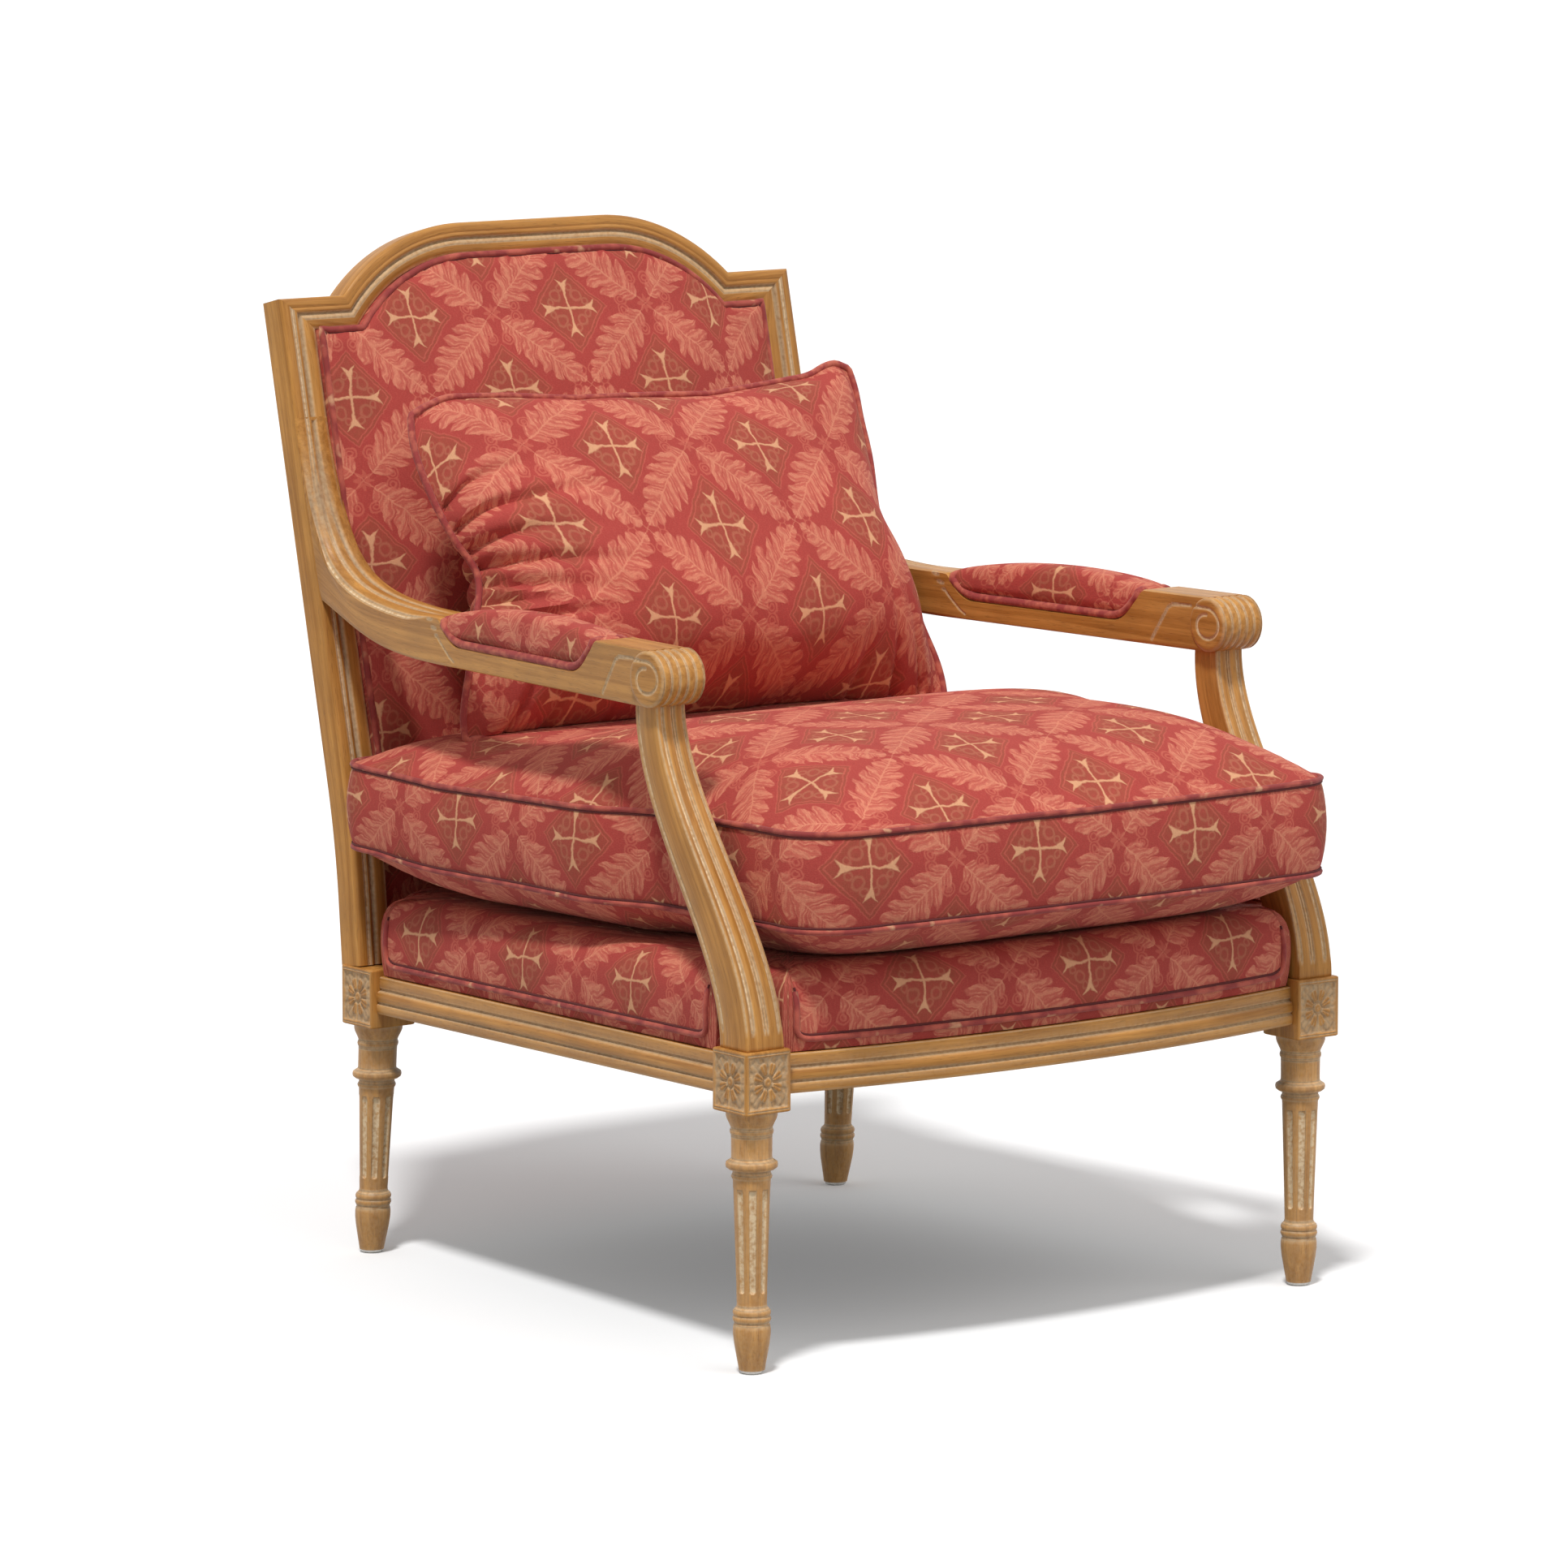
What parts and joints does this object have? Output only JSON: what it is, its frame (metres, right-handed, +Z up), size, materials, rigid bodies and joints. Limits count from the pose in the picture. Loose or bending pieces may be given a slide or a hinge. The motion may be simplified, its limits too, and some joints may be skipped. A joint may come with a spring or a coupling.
{
  "type": "armchair",
  "caption": "Open armchair with a carved limewashed wooden frame, turned legs, scrolled arms, padded back, loose boxed seat cushion and leaning scatter cushion, in red damask.",
  "frame": {"origin": "on the floor under the middle of the chair's bounding box", "axes": "+Z up, the front faces -Y, +X is the right-hand side as seen from the front"},
  "size_m": [0.7136, 0.9055, 0.9793],
  "materials": {
    "limed_beech": "honey brown, limed in the grooves, satin wax",
    "red_damask": "woven terracotta red figured damask",
    "jute_webbing": "coarse woven jute",
    "black_cambric": "thin black dust cloth",
    "bright_steel": "plain bright steel"
  },
  "bodies": {
    "frame": {"front_leg_left": "limed_beech", "front_leg_right": "limed_beech", "rear_post_left": "limed_beech", "rear_post_right": "limed_beech", "front_seat_rail": "limed_beech", "rear_seat_rail": "limed_beech", "side_seat_rail_left": "limed_beech", "side_seat_rail_right": "limed_beech", "arm_support_left": "limed_beech", "arm_support_right": "limed_beech", "arm_left": "limed_beech", "arm_right": "limed_beech", "crest_rail": "limed_beech", "lower_back_rail": "limed_beech", "corner_block_front_left": "limed_beech", "corner_block_front_right": "limed_beech", "corner_block_rear_left": "limed_beech", "corner_block_rear_right": "limed_beech", "seat_deck": "red_damask", "back_pad": "red_damask", "outside_back": "red_damask", "arm_pad_left": "red_damask", "arm_pad_right": "red_damask", "webbing_long_1": "jute_webbing", "webbing_long_2": "jute_webbing", "webbing_long_3": "jute_webbing", "webbing_long_4": "jute_webbing", "webbing_cross_1": "jute_webbing", "webbing_cross_2": "jute_webbing", "webbing_cross_3": "jute_webbing", "webbing_cross_4": "jute_webbing", "dust_cover": "black_cambric", "corner_screw_side_front_left": "bright_steel", "corner_screw_side_front_right": "bright_steel", "corner_screw_side_rear_left": "bright_steel", "corner_screw_side_rear_right": "bright_steel", "corner_screw_cross_front_left": "bright_steel", "corner_screw_cross_front_right": "bright_steel", "corner_screw_cross_rear_left": "bright_steel", "corner_screw_cross_rear_right": "bright_steel", "foot_glide_front_left": "bright_steel", "foot_glide_front_right": "bright_steel", "foot_glide_rear_left": "bright_steel", "foot_glide_rear_right": "bright_steel"},
    "seat_cushion": {"seat_cushion": "red_damask"},
    "scatter_cushion": {"scatter_cushion": "red_damask"}
  },
  "joints": [
    {"name": "seat_cushion_lift", "type": "slide", "parent": "frame", "child": "seat_cushion", "axis": [0, 0, 1], "range_m": [0, 0.06]},
    {"name": "scatter_cushion_lift", "type": "slide", "parent": "seat_cushion", "child": "scatter_cushion", "axis": [0, 0, 1], "range_m": [0, 0.15]}
  ]
}
